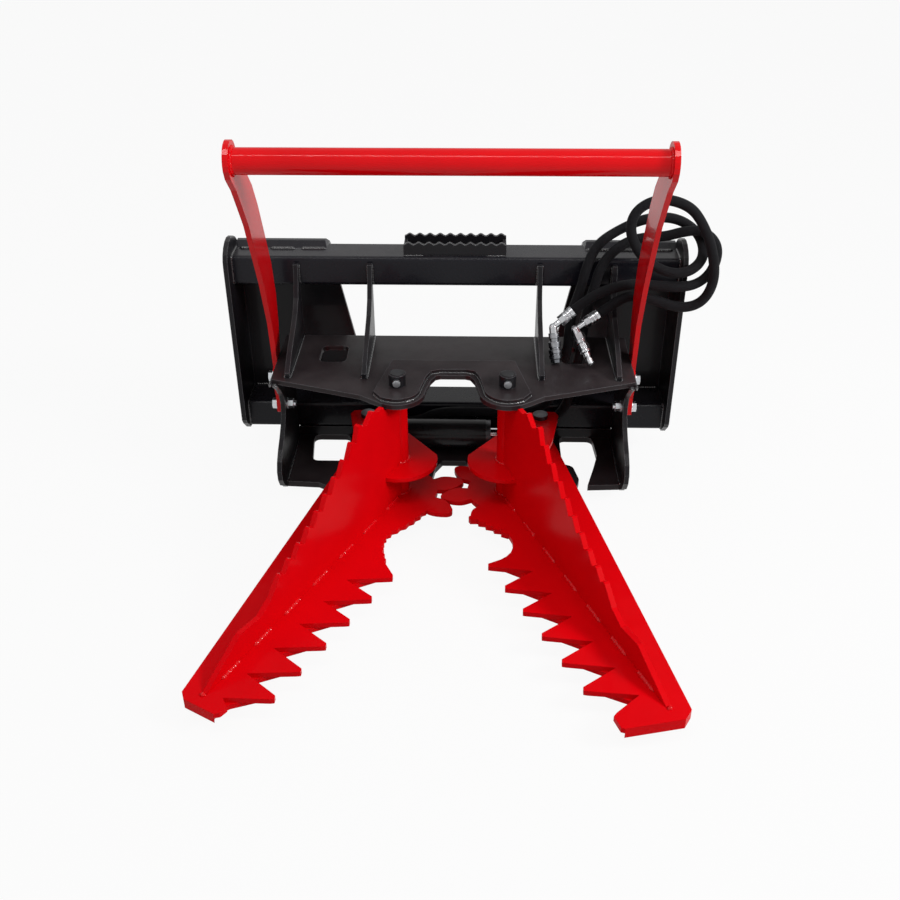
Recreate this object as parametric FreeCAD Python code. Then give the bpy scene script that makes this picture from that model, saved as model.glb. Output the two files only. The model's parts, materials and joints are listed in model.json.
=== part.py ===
import FreeCAD, Part
import math
import os

# Tree puller for a skid steer, millimetres. X across the machine, Y towards the
# machine, Z up. Every size has its own name; each fit is a size plus a clearance.

os.makedirs("parts", exist_ok=True)
V = FreeCAD.Vector

# the end plates' front edge stands this far behind the origin, which is in the
# middle of the footprint from the jaws' tips to the hooked lips
ORIGIN_Y = 423.15

# quick-attach frame
FRAME_W = 1145.0
END_T = 12.0
TUBE_H = 76.0
TUBE_D = 102.0
TUBE_WALL = 8.0
TUBE_R = 10.0
TUBE_FRONT = 43.0
TOP_Z = 560.0
LOW_TUBE_TOP = 145.0
BACK_T = 10.0
BACK_TOP_IN = 316.0
BACK_LOW_IN = 240.0
LIP_IN_TOP = 336.0
LIP_IN_FOOT = 326.0
LIP_T = 12.0
LOCK_SLOT_W = 62.0
LOCK_SLOT_H = 30.0
LOCK_SLOT_X = 472.0
LOCK_SLOT_Z = 106.0

# step on the top tube
STEP_HALF = 129.0
STEP_H = 34.0
STEP_T = 8.0
STEP_FRONT = 58.0
STEP_REAR = 130.0
STEP_BUMPS = 10

# deck, base and side plates
DECK_T = 12.0
DECK_TOP = 348.0
DOUBLER_T = 10.0
BASE_T = 16.0
BASE_TOP = 42.0
SIDE_T = 12.0
SIDE_OUT = 438.0
GUSSET_T = 12.0
GUSSET_OUT_X = 398.0
GUSSET_IN_X = 213.0
GUSSET_FOOT = -203.0
DECK_CORNER = -206.0
DECK_REAR = 38.0
LOBE_R = 66.0
LOBE_SET = 17.0
HOSE_HOLE = (-334.0, -267.0, -113.0, -24.0)

# jaw pivots
PIVOT_X = 130.0
PIVOT_Y = -245.0
PIN_D = 32.0
PIN_FIT = 0.05
HUB_D = 44.0
COLLAR_D = 40.0
COLLAR_H = 30.0
PIN_BOLT_D = 12.0
BASE_BOSS_D = 60.0
WASHER_D = 60.0
THRUST_GAP = 2.0
AXIAL_FIT = 0.05

# jaws, in their own frame: s runs forward from the pivot, t outward
HEADING = {"left": 26.7, "right": 23.8}
JAW_T = 12.0
JAW_TOP = 60.0
PITCH = 85.0
TIPS = {"left": 735.0, "right": 686.0}
TOOTH_N = 6
TIP_T = -162.0
TIP_RISE = 0.03
ROOT_T = -72.0
ROOT_RISE = 0.045
TIP_SHORT = 31.0
ROOT_SHORT = 14.0
LOW_FROM = 104.0
EDGE_T = {"left": 190.0, "right": 186.0}
EDGE_SLOPE = 0.209
BLADE_IN = -13.0
BLADE_T = 12.0
BLADE_TURN = 1.0
BLADE_UNDER = 331.0
SAW_N = 9
SAW_FROM = 226.0
SAW_PITCH = 36.2
SAW_TOP = 322.0
EAR_PLATE_R = 93.0
EAR_PLATE_T = 10.0
EAR_PLATE_TOP = 151.0

# timing lobes: a coarse gear segment on each upper jaw plate
LOBES = 7
PRESSURE = 30.0
ADDENDUM = 0.85
DEDENDUM = 1.0
BACKLASH = 0.8
LOBE_PHASE = {"left": (37.1, -14.3), "right": (62.8, 11.4, -40.0)}

# cylinder between the jaws' rear ends
EAR_X = 96.0
EAR_Y = 207.0
EAR_PIN_D = 25.0
EYE_GAP = 1.5
EYE_D = 62.0
BARREL_D = 75.0
BORE_D = 63.5
ROD_D = 32.0
PISTON_FIT = 0.1
ROD_FIT = 0.1
BARREL_X0 = 36.0
BARREL_L = 274.0
BARREL_END_T = 12.0
GLAND_L = 34.0
GLAND_FLANGE = 12.0
PISTON_L = 30.0
PISTON_AT = 366.0
PORT_D = 12.0
PORT_NECK_D = 26.0
PORT_STAND = 10.0

# brush guard
GUARD_D = 54.0
GUARD_Y = -345.0
GUARD_Z = 917.0
ARM_T = 12.0
ARM_LOBE_R = 42.0
BOLT_D = 16.0
BOLT_HEAD_AF = 24.0
BOLT_HEAD_H = 10.0
NUT_H = 13.0
BOLT_TAIL = 6.0
WASHER_T = 3.0
GUARD_BOLTS = ((-104.0, 303.0), (-92.0, 218.0))

# hoses with their textile sleeve, and the fittings on their ends
HOSE_D = 24.0
HOSE_FIT = 0.2
PORT_OUT = 24.0
ELBOW_D = 20.0
CRIMP_D = 28.0
CRIMP_L = 26.0
CRIMP_IN = 12.0
STEM_D = 15.0
SWIVEL_AF = 24.0
SWIVEL_L = 14.0
COUPLER_L = 72.0
COUPLER_D = 32.0
SOCKET_D = 20.0
SOCKET_L = 28.0
NIPPLE_L = 84.0
NIPPLE_AF = 27.0
NIPPLE_D = 18.0

TUBE_REAR = TUBE_FRONT + TUBE_D
BACK_FACE = TUBE_REAR + BACK_T
TUBE_HALF = FRAME_W / 2 - END_T
TOP_BOTTOM = TOP_Z - TUBE_H
LOW_BOTTOM = LOW_TUBE_TOP - TUBE_H
DECK_BOTTOM = DECK_TOP - DECK_T
BASE_BOTTOM = BASE_TOP - BASE_T
HUB_LOW = BASE_TOP + THRUST_GAP
HUB_HIGH = DECK_BOTTOM - THRUST_GAP
JAW_LOW = JAW_TOP - 2 * JAW_T
EYE_LOW = JAW_TOP + EYE_GAP
EYE_HIGH = EAR_PLATE_TOP - EAR_PLATE_T - EYE_GAP
CYL_Z = (EYE_LOW + EYE_HIGH) / 2


def save(name, shape):
    shape = shape.removeSplitter() if len(shape.Solids) == 1 else shape.copy()
    shape.translate(V(0, ORIGIN_Y, 0))
    shape.exportStep("parts/%s.step" % name)


def box(x0, x1, y0, y1, z0, z1):
    return Part.makeBox(x1 - x0, y1 - y0, z1 - z0, V(x0, y0, z0))


def plate_z(points, z0, z1):
    wire = Part.makePolygon([V(x, y, z0) for x, y in points + points[:1]])
    return Part.Face(wire).extrude(V(0, 0, z1 - z0))


def plate_x(points, x0, x1):
    wire = Part.makePolygon([V(x0, y, z) for y, z in points + points[:1]])
    return Part.Face(wire).extrude(V(x1 - x0, 0, 0))


def plate_y(points, y0, y1):
    wire = Part.makePolygon([V(x, y0, z) for x, z in points + points[:1]])
    return Part.Face(wire).extrude(V(0, y1 - y0, 0))


def rod_x(d, x0, x1, y, z):
    return Part.makeCylinder(d / 2, x1 - x0, V(x0, y, z), V(1, 0, 0))


def rod_y(d, y0, y1, x, z):
    return Part.makeCylinder(d / 2, y1 - y0, V(x, y0, z), V(0, 1, 0))


def rod_z(d, z0, z1, x, y):
    return Part.makeCylinder(d / 2, z1 - z0, V(x, y, z0), V(0, 0, 1))


def join(shapes):
    out = shapes[0]
    for s in shapes[1:]:
        out = out.fuse(s)
    return out


def arc(cx, cy, r, a0, a1, n):
    return [(cx + r * math.cos(math.radians(a0 + (a1 - a0) * i / n)),
             cy + r * math.sin(math.radians(a0 + (a1 - a0) * i / n))) for i in range(n + 1)]


def round_corners(points, radii, n=4):
    out = []
    k = len(points)
    for i in range(k):
        (ax, ay), (bx, by), (cx, cy) = points[i - 1], points[i], points[(i + 1) % k]
        r = radii[i] if isinstance(radii, (list, tuple)) else radii
        if not r:
            out.append((bx, by))
            continue
        ua, ub = math.hypot(ax - bx, ay - by), math.hypot(cx - bx, cy - by)
        px, py = (ax - bx) / ua, (ay - by) / ua
        qx, qy = (cx - bx) / ub, (cy - by) / ub
        half = math.acos(max(-1, min(1, px * qx + py * qy))) / 2
        cut = min(r / math.tan(half), 0.48 * ua, 0.48 * ub)
        rr = cut * math.tan(half)
        mx, my = px + qx, py + qy
        m = math.hypot(mx, my)
        ox, oy = bx + mx / m * rr / math.sin(half), by + my / m * rr / math.sin(half)
        a0 = math.atan2(by + py * cut - oy, bx + px * cut - ox)
        a1 = math.atan2(by + qy * cut - oy, bx + qx * cut - ox)
        d = (a1 - a0 + math.pi) % (2 * math.pi) - math.pi
        out += [(ox + rr * math.cos(a0 + d * j / n), oy + rr * math.sin(a0 + d * j / n))
                for j in range(n + 1)]
    return out


def mirror(shape):
    return shape.mirror(V(0, 0, 0), V(1, 0, 0))


def both(name, shape):
    save(name + "_right", shape)
    save(name + "_left", mirror(shape))


def section_tube(y0, z0, x0, x1):
    corners = [(y0, z0), (y0 + TUBE_D, z0), (y0 + TUBE_D, z0 + TUBE_H), (y0, z0 + TUBE_H)]
    w = TUBE_WALL
    inner = [(y0 + w, z0 + w), (y0 + TUBE_D - w, z0 + w),
             (y0 + TUBE_D - w, z0 + TUBE_H - w), (y0 + w, z0 + TUBE_H - w)]
    outer = plate_x(round_corners(corners, TUBE_R, 5), x0, x1)
    return outer.cut(plate_x(round_corners(inner, TUBE_R / 2, 3), x0, x1))


# cross tubes; the lower one has the two lock pin windows in its rear wall
top_tube = section_tube(TUBE_FRONT, TOP_BOTTOM, -TUBE_HALF, TUBE_HALF)
save("top_tube", top_tube)
low_tube = section_tube(TUBE_FRONT, LOW_BOTTOM, -TUBE_HALF, TUBE_HALF)
SLOT_RUN = (LOCK_SLOT_W - LOCK_SLOT_H) / 2
slot = [box(LOCK_SLOT_X - SLOT_RUN, LOCK_SLOT_X + SLOT_RUN, TUBE_REAR - TUBE_WALL - 1, BACK_FACE + 1,
            LOCK_SLOT_Z - LOCK_SLOT_H / 2, LOCK_SLOT_Z + LOCK_SLOT_H / 2)]
slot += [rod_y(LOCK_SLOT_H, TUBE_REAR - TUBE_WALL - 1, BACK_FACE + 1, LOCK_SLOT_X + q * SLOT_RUN, LOCK_SLOT_Z)
         for q in (-1, 1)]
slots = join(slot)
slots = slots.fuse(mirror(slots))
save("lower_tube", low_tube.cut(slots))

# end plates with the rounded lobe over the lip
end_profile = [(0, LOW_BOTTOM + 42), (9, LOW_BOTTOM + 28), (TUBE_FRONT, LOW_BOTTOM - 3),
               (BACK_FACE + 3, LOW_BOTTOM - 3), (BACK_FACE + 3, 518.0), (150.0, 543.0), (133.0, 569.0),
               (113.0, 587.0), (90.0, 598.0), (67.0, 602.0), (44.0, 599.0), (24.0, 590.0),
               (10.0, 577.0), (2.0, 562.0), (0.0, 545.0)]
both("end_plate", plate_x(end_profile, TUBE_HALF, FRAME_W / 2))

# rear quick-attach plates with a sloping inner edge and the lock pin slots
back = plate_y([(BACK_TOP_IN, TOP_BOTTOM + 20), (TUBE_HALF, TOP_BOTTOM + 20), (TUBE_HALF, LOW_BOTTOM),
                (BACK_LOW_IN, LOW_BOTTOM), (BACK_LOW_IN, LOW_TUBE_TOP)], TUBE_REAR, BACK_FACE)
both("back_plate", back.cut(slots))

# hooked lips on the rear of the top tube
a = (TUBE_REAR + 3, TOP_Z)
lip_profile = [(TUBE_REAR - 44, TOP_Z), (TUBE_REAR - 16, TOP_Z + 12), (TUBE_REAR - 2, TOP_Z + 12),
               (TUBE_REAR + 42, TOP_Z - 22), (TUBE_REAR + 33, TOP_Z - 30), a]
lip = plate_x(lip_profile, LIP_IN_TOP - 12, TUBE_HALF)
cut = plate_y([(LIP_IN_FOOT - 20, TOP_Z - 40), (LIP_IN_FOOT, TOP_Z - 40), (LIP_IN_FOOT, TOP_Z),
               (LIP_IN_TOP, TOP_Z + 18), (LIP_IN_FOOT - 20, TOP_Z + 18)], TUBE_REAR - 60, TUBE_REAR + 60)
both("hook_lip", lip.cut(cut))

# step: two scalloped bars and two end caps
bar = []
for i in range(STEP_BUMPS):
    x0 = -STEP_HALF + 2 * STEP_HALF * i / STEP_BUMPS
    w = 2 * STEP_HALF / STEP_BUMPS
    for j in range(6):
        x = x0 + w * j / 6
        bar.append((x, TOP_Z + STEP_H - 3.2 * (1 + math.cos(2 * math.pi * j / 6))))
bar.append((STEP_HALF, TOP_Z + STEP_H - 6.4))
bar += [(STEP_HALF, TOP_Z), (-STEP_HALF, TOP_Z)]
save("step_front_bar", plate_y(bar, STEP_FRONT, STEP_FRONT + STEP_T))
save("step_rear_bar", plate_y(bar, STEP_REAR - STEP_T, STEP_REAR))
cap = box(STEP_HALF - STEP_T, STEP_HALF, STEP_FRONT + STEP_T, STEP_REAR - STEP_T, TOP_Z, TOP_Z + 20)
save("step_end_caps", Part.makeCompound([cap, mirror(cap)]))

# gussets with a concave front edge
curve = [(TUBE_FRONT - 13, 545.0), (TUBE_FRONT - 19, 520.0), (16.0, 498.0), (0.0, 467.0), (-35.0, 438.0),
         (-92.0, 414.0), (-150.0, 391.0), (GUSSET_FOOT, 362.0), (GUSSET_FOOT, DECK_TOP)]
gusset = [(TUBE_FRONT, 545.0)] + curve + [(TUBE_FRONT, DECK_TOP)]
for tag, gx in (("gusset_outer", GUSSET_OUT_X), ("gusset_inner", GUSSET_IN_X)):
    both(tag, plate_x(gusset, gx - GUSSET_T / 2, gx + GUSSET_T / 2))

# deck with two lobes over the pivots and a notch between them
notch = [(60.0, -238.0), (53.0, -207.0), (42.0, -183.0), (30.0, -178.0)]
half = [(SIDE_OUT, DECK_REAR), (SIDE_OUT, DECK_CORNER), (216.0, -281.0)]
half += arc(PIVOT_X, PIVOT_Y - LOBE_SET, LOBE_R, -50, -180, 12) + notch
outline = half + [(-x, y) for x, y in half[::-1]]
deck = plate_z(outline, DECK_BOTTOM, DECK_TOP)
hx0, hx1, hy0, hy1 = HOSE_HOLE
hole = plate_z(round_corners([(hx0, hy0), (hx1, hy0), (hx1, hy1), (hx0, hy1)], 16, 4), 0, TOP_Z)
pins = join([rod_z(PIN_D, 0, TOP_Z, s * PIVOT_X, PIVOT_Y) for s in (-1, 1)])
deck = deck.cut(hole).cut(mirror(hole)).cut(pins)
save("deck_plate", deck)

INSET = 11.0
dnotch = [(60.0 + INSET, -240.0), (53.0 + INSET, -203.0), (42.0 + INSET, -174.0), (30.0, -166.0)]
dhalf = [(151.0, -118.0), (184.0, -279.0), (166.0, -306.0)]
dhalf += arc(PIVOT_X, PIVOT_Y - LOBE_SET, LOBE_R - INSET, -55, -180, 10) + dnotch
doubler = plate_z(dhalf + [(-x, y) for x, y in dhalf[::-1]], DECK_TOP, DECK_TOP + DOUBLER_T)
save("deck_doubler", doubler.cut(pins))

# side plates between deck and base with a hollowed front edge
front = [(DECK_CORNER, DECK_BOTTOM), (-196.0, 322.0), (-160.0, 292.0), (-132.0, 262.0), (-122.0, 232.0),
         (-128.0, 206.0), (-146.0, 184.0), (-176.0, 164.0), (-208.0, 148.0), (-234.0, 128.0), (-246.0, 106.0),
         (-243.0, 80.0), (-226.0, 54.0), (-198.0, 34.0), (-190.0, BASE_BOTTOM)]
side = plate_x(front + [(TUBE_FRONT, BASE_BOTTOM), (TUBE_FRONT, DECK_BOTTOM)], SIDE_OUT - SIDE_T, SIDE_OUT)
bolt_holes = join([rod_x(BOLT_D, SIDE_OUT - SIDE_T - 1, SIDE_OUT + ARM_T + 1, y, z) for y, z in GUARD_BOLTS])
both("side_plate", side.cut(bolt_holes))

# base plate: closed window on the left, open one on the right as the photo has it
inx = SIDE_OUT - SIDE_T
bhalf = [(inx, TUBE_REAR), (inx, -188.0), (344.0, -193.0), (222.0, -268.0)]
bhalf += arc(PIVOT_X, PIVOT_Y - LOBE_SET, LOBE_R, -50, -165, 10)
bhalf += [(58.0, -200.0), (48.0, -120.0), (30.0, -84.0)]
base = plate_z(bhalf + [(-x, y) for x, y in bhalf[::-1]], BASE_BOTTOM, BASE_TOP)
win_l = round_corners([(-387, 43), (-285, 43), (-285, -88), (-374, -88)], 16, 4)
win_r = round_corners([(285, 43), (374, 43), (380, -52), (366, -110), (342, -199), (336, -260),
                       (300, -260), (324, -166), (312, -104), (285, -92)],
                      [14, 18, 30, 30, 0, 0, 0, 22, 20, 12], 4)
base = base.cut(plate_z(win_l, 0, 100)).cut(plate_z(win_r, 0, 100)).cut(pins)
save("base_plate", base)
save("base_web", box(-inx, inx, TUBE_FRONT, TUBE_FRONT + 12, BASE_TOP, LOW_BOTTOM))
boss = rod_z(BASE_BOSS_D, 0, BASE_BOTTOM, PIVOT_X, PIVOT_Y).cut(rod_z(PIN_D, 0, BASE_BOTTOM, PIVOT_X, PIVOT_Y))
save("base_bosses", Part.makeCompound([boss, mirror(boss)]))

# pivot pins, top collars with a cross bolt, thrust washers
pin = rod_z(PIN_D, 0, DECK_TOP + DOUBLER_T + COLLAR_H + 2, PIVOT_X, PIVOT_Y)
cz = DECK_TOP + DOUBLER_T + COLLAR_H / 2
cross = rod_y(PIN_BOLT_D, PIVOT_Y - 60, PIVOT_Y + 60, PIVOT_X, cz)
both("pivot_pin", pin.cut(cross))
collar = rod_z(COLLAR_D, DECK_TOP + DOUBLER_T, DECK_TOP + DOUBLER_T + COLLAR_H, PIVOT_X, PIVOT_Y)
collar = collar.cut(pins).cut(cross)
save("pin_collars", Part.makeCompound([collar, mirror(collar)]))
cb = rod_y(PIN_BOLT_D, PIVOT_Y - COLLAR_D / 2, PIVOT_Y + COLLAR_D / 2 + 12, PIVOT_X, cz)
cb = cb.fuse(rod_y(18.0, PIVOT_Y - COLLAR_D / 2 - 8, PIVOT_Y - COLLAR_D / 2, PIVOT_X, cz))
cb = cb.fuse(rod_y(20.0, PIVOT_Y + COLLAR_D / 2, PIVOT_Y + COLLAR_D / 2 + 9, PIVOT_X, cz))
save("pin_bolts", Part.makeCompound([cb, mirror(cb)]))
wash = rod_z(WASHER_D, BASE_TOP, HUB_LOW - AXIAL_FIT, PIVOT_X, PIVOT_Y).cut(pins)
save("thrust_washers", Part.makeCompound([wash, mirror(wash)]))


# jaw frame to world: x is t, y is minus s for the right jaw; the left is its mirror
def place(shape, side):
    if side == "left":
        shape = mirror(shape)
    sign = 1 if side == "right" else -1
    shape = shape.copy()
    shape.rotate(V(0, 0, 0), V(0, 0, 1), sign * HEADING[side])
    shape.translate(V(sign * PIVOT_X, PIVOT_Y, 0))
    return shape


def jaw_plate(points, z0, z1):
    return plate_z([(t, -s) for s, t in points], z0, z1)


# one timing lobe as an involute tooth about the pivot
def timing_lobe(angle):
    m = 2 * PIVOT_X / LOBES
    rb = PIVOT_X * math.cos(math.radians(PRESSURE))
    ra = PIVOT_X + ADDENDUM * m
    rf = PIVOT_X - DEDENDUM * m
    inv = lambda r: math.tan(math.acos(rb / r)) - math.acos(rb / r)
    base_half = math.pi / (2 * LOBES) + inv(PIVOT_X) - BACKLASH / PIVOT_X
    flank = [(rf * 0.9, base_half), (rb, base_half)]
    for i in range(1, 9):
        r = rb + (ra - rb) * (i / 8.0) ** 1.5
        flank.append((r, base_half - inv(r)))
    tip_half = flank[-1][1]
    r_last = ra - 4
    side = [(r, h) for r, h in flank if r < r_last] + [(r_last, base_half - inv(r_last)),
                                                      (ra - 0.8, tip_half * 0.72), (ra, tip_half * 0.4)]
    pts = [(r, angle + h) for r, h in side] + [(r, angle - h) for r, h in side[::-1]]
    return [(r * math.sin(a), -r * math.cos(a)) for r, a in pts]


THROAT = {
    "left": [(44, -100), (66, -97), (90, -94), (114, -89), (140, -80), (163, -71), (184, -68), (205, -71),
             (225, -80), (243, -92), (258, -105), (272, -116)],
    "right": [(70, -127), (88, -110), (107, -99), (128, -88), (148, -75), (170, -69), (196, -71),
              (220, -80), (237, -94), (247, -110), (252, -126)]}


def throat(side, rise, inset):
    curve = [(s, t + inset) for s, t in THROAT[side] if not inset or s > LOW_FROM]
    out = []
    for (s0, t0), (s1, t1) in zip(curve, curve[1:]):
        d = math.hypot(s1 - s0, t1 - t0)
        out += [(s0, t0), ((s0 + s1) / 2 + (t1 - t0) / d * rise, (t0 + t1) / 2 - (s1 - s0) / d * rise)]
    return out + [curve[-1]]


def edge(side, s):
    return EDGE_T[side] - EDGE_SLOPE * s


def jaw_outline(side, short, root_short, rise):
    first = TIPS[side]
    pts = []
    for k in range(TOOTH_N - 1, -1, -1):
        s = first - PITCH * k
        tip = TIP_T + TIP_RISE * (s - 300.0) + short
        root = ROOT_T + ROOT_RISE * (s - 450.0) - root_short
        if k < TOOTH_N - 1:
            pts.append((s - 28.0, root))
        pts += [(s - 6.0, tip + 4), (s + 3.0, tip), (s + 8.0, tip + 7)]
    if side == "left":
        pts += [(782.0, -60.0 - root_short), (798.0, -82.0 + short / 2), (816.0, -79.0 + short / 2),
                (824.0, -70.0), (820.0, 6.0), (806.0, edge(side, 806.0))]
    else:
        pts += [(741.0, -57.0 - root_short), (764.0, -120.0 + short / 2), (770.0, -130.0 + short / 2),
                (801.0, -132.0 + short / 2), (806.0, -126.0), (829.0, -8.0), (812.0, 16.0), (800.0, edge(side, 800.0))]
    return throat(side, rise, root_short) + pts


# the ear pin in a jaw's own frame
def local_ear(side):
    a = math.radians(HEADING[side])
    return (EAR_X * math.sin(a) - EAR_Y * math.cos(a), EAR_X * math.cos(a) + EAR_Y * math.sin(a))


def blade():
    pts = [(8.0, JAW_TOP), (8.0, BLADE_UNDER), (84.0, BLADE_UNDER), (88.0, 343.0), (112.0, 343.0),
           (128.0, 353.0), (136.0, 355.0), (163.0, 334.0), (177.0, 339.0), (190.0, 351.0), (197.0, 349.0)]
    for k in range(SAW_N):
        s = SAW_FROM + SAW_PITCH * k + 0.16 * k * k
        z = SAW_TOP - 0.73 * (s - SAW_FROM) + 0.00068 * (s - SAW_FROM) ** 2
        pts += [(s - 15.0, z - 8.0), (s - 2.0, z + 1.0), (s + 3.0, z - 1.0)]
    pts += [(565.0, 128.0), (605.0, 111.0), (671.0, 119.0), (711.0, 99.0), (765.0, 73.0), (790.0, JAW_TOP)]
    wire = Part.makePolygon([V(BLADE_IN, -s, z) for s, z in pts + pts[:1]])
    shape = Part.Face(wire).extrude(V(BLADE_T, 0, 0))
    shape.rotate(V(BLADE_IN, 0, 0), V(0, 0, 1), -BLADE_TURN)
    return shape


hub_hole = rod_z(HUB_D, 0, TOP_Z, 0, 0)
gear_rf = PIVOT_X - DEDENDUM * 2 * PIVOT_X / LOBES
blade_core = blade().cut(hub_hole)

for side in ("left", "right"):
    sign = 1 if side == "right" else -1
    es, et = local_ear(side)
    ear_hole = rod_z(EAR_PIN_D, 0, TOP_Z, et, -es)
    rear = [(es - 20, edge(side, es - 20)), (es - 36, et + 26),
            (es - 38, et - 8), (es - 24, et - 32), (-70.0, 78.0), (-gear_rf, 20.0), (-gear_rf, -20.0)]
    outline = jaw_outline(side, 0.0, 0.0, 5.0)
    flank = [(52.0, -84.0)] if side == "right" else []
    upper = jaw_plate(outline + rear + [(-30.0, -60.0)] + flank, JAW_TOP - JAW_T, JAW_TOP)
    upper = upper.fuse(rod_z(2 * gear_rf, JAW_TOP - JAW_T, JAW_TOP, 0, 0))
    for deg in LOBE_PHASE[side]:
        lobe = jaw_plate(timing_lobe(math.radians(deg - HEADING[side])), JAW_TOP - JAW_T, JAW_TOP)
        upper = upper.fuse(lobe)
    if side == "right":
        trim = THROAT["right"] + [(254, -210), (62, -210)]
        upper = upper.cut(jaw_plate(trim, JAW_TOP - JAW_T - 1, JAW_TOP + 1))
    save("jaw_%s_top_plate" % side, place(upper.cut(hub_hole).cut(ear_hole), side))

    low = jaw_outline(side, TIP_SHORT, ROOT_SHORT, 0.0)
    low += [(LOW_FROM + 8, edge(side, LOW_FROM + 8)), (LOW_FROM, 60.0), (LOW_FROM, -60.0)]
    save("jaw_%s_bottom_plate" % side, place(jaw_plate(low, JAW_LOW, JAW_TOP - JAW_T), side))

    hub = rod_z(HUB_D, HUB_LOW, HUB_HIGH, 0, 0).cut(rod_z(PIN_D + 2 * PIN_FIT, HUB_LOW, HUB_HIGH, 0, 0))
    save("jaw_%s_hub" % side, place(hub, side))
    save("jaw_%s_blade" % side, place(blade_core, side))

    # ear plate: round in front of the hub, drawn back to the ear pin
    pts = arc(PIVOT_X, PIVOT_Y, EAR_PLATE_R, 168, 318, 18)
    ex, ey = PIVOT_X + EAR_X, PIVOT_Y + EAR_Y
    pts += [(250.0, -158.0), (274.0, -26.0), (266.0, -10.0), (ex - 8, ey + 34), (ex - 28, ey + 20), (164.0, -58.0)]
    ear = plate_z(pts, EAR_PLATE_TOP - EAR_PLATE_T, EAR_PLATE_TOP)
    ear = ear if side == "right" else mirror(ear)
    ear = ear.cut(rod_z(HUB_D, 0, TOP_Z, sign * PIVOT_X, PIVOT_Y)).cut(rod_z(EAR_PIN_D, 0, TOP_Z, sign * ex, ey))
    save("jaw_%s_ear_plate" % side, ear.cut(place(blade_core, side)))
    pin_e = rod_z(EAR_PIN_D, JAW_TOP - JAW_T, EAR_PLATE_TOP + 3, sign * ex, ey)
    pin_e = pin_e.fuse(rod_z(EAR_PIN_D + 13, EAR_PLATE_TOP, EAR_PLATE_TOP + 11, sign * ex, ey))
    save("ear_pin_%s" % side, pin_e)

# cylinder: barrel and gland turn on the left ear pin, rod and piston on the right one
lx, rx, cy = -(PIVOT_X + EAR_X), PIVOT_X + EAR_X, PIVOT_Y + EAR_Y
eye_bore = EAR_PIN_D + 2 * PIN_FIT


def eye(x):
    return rod_z(EYE_D, EYE_LOW, EYE_HIGH, x, cy), rod_z(eye_bore, 0, TOP_Z, x, cy)


e, hole_e = eye(lx)
bx0, bx1 = lx + BARREL_X0, lx + BARREL_X0 + BARREL_L
barrel = rod_x(BARREL_D, bx0 - BARREL_END_T, bx1, cy, CYL_Z)
barrel = barrel.fuse(e).cut(hole_e).cut(rod_x(BORE_D, bx0, bx1, cy, CYL_Z))
PORTS = (bx0 + PORT_NECK_D, bx1 - GLAND_L - PORT_NECK_D / 2)
port_face = cy + BARREL_D / 2 + PORT_STAND
for px in PORTS:
    barrel = barrel.fuse(rod_y(PORT_NECK_D, cy + BORE_D / 2 + 2, port_face, px, CYL_Z))
    barrel = barrel.cut(rod_y(PORT_D, cy + BORE_D / 2 - 4, port_face, px, CYL_Z))
save("cylinder_barrel", barrel)
gland = rod_x(BORE_D, bx1 - GLAND_L, bx1, cy, CYL_Z)
gland = gland.fuse(rod_x(BARREL_D - 3, bx1, bx1 + GLAND_FLANGE, cy, CYL_Z))
save("cylinder_gland", gland.cut(rod_x(ROD_D + 2 * ROD_FIT, bx1 - GLAND_L, bx1 + GLAND_FLANGE, cy, CYL_Z)))
e, hole_e = eye(rx)
rod_x0 = rx - PISTON_AT
rod = rod_x(ROD_D, rod_x0, rx - EYE_D / 2 + 6, cy, CYL_Z).fuse(e).cut(hole_e)
save("cylinder_rod", rod)
piston = rod_x(BORE_D - 2 * PISTON_FIT, rod_x0 + 4, rod_x0 + 4 + PISTON_L, cy, CYL_Z)
save("cylinder_piston", piston.cut(rod_x(ROD_D, rod_x0, rod_x0 + PISTON_L + 10, cy, CYL_Z)))

# brush guard: tube, two curved flat arms, bolts
save("guard_tube", rod_x(GUARD_D, -SIDE_OUT, SIDE_OUT, GUARD_Y, GUARD_Z).cut(
    rod_x(GUARD_D - 8, -SIDE_OUT, SIDE_OUT, GUARD_Y, GUARD_Z)))
lobe = arc(GUARD_Y, GUARD_Z, ARM_LOBE_R, -30, 195, 14)
arm_front = [(-376.0, 888.0), (-340.0, 855.0), (-300.0, 803.0), (-262.0, 752.0), (-236.0, 701.0), (-205.0, 642.0),
             (-173.0, 580.0), (-150.0, 520.0), (-127.0, 460.0), (-118.0, 406.0), (-114.0, 370.0), (-108.0, 330.0),
             (-124.0, 310.0), (-124.0, 290.0), (-112.0, 250.0), (-112.0, 204.0), (-100.0, 196.0)]
arm_rear = [(-72.0, 204.0), (-70.0, 250.0), (-66.0, 310.0), (-60.0, 360.0), (-47.0, 423.0), (-44.0, 499.0),
            (-64.0, 588.0), (-108.0, 680.0), (-150.0, 762.0), (-188.0, 818.0), (-240.0, 868.0), (-296.0, 884.0)]
arm = plate_x(lobe + arm_front + arm_rear, SIDE_OUT, SIDE_OUT + ARM_T)
both("guard_arm", arm.cut(bolt_holes))


def hexagon(af, x0, x1, y, z):
    r = af / math.sqrt(3)
    pts = [(y + r * math.cos(math.radians(60 * i)), z + r * math.sin(math.radians(60 * i))) for i in range(6)]
    return plate_x(pts, x0, x1)


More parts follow.
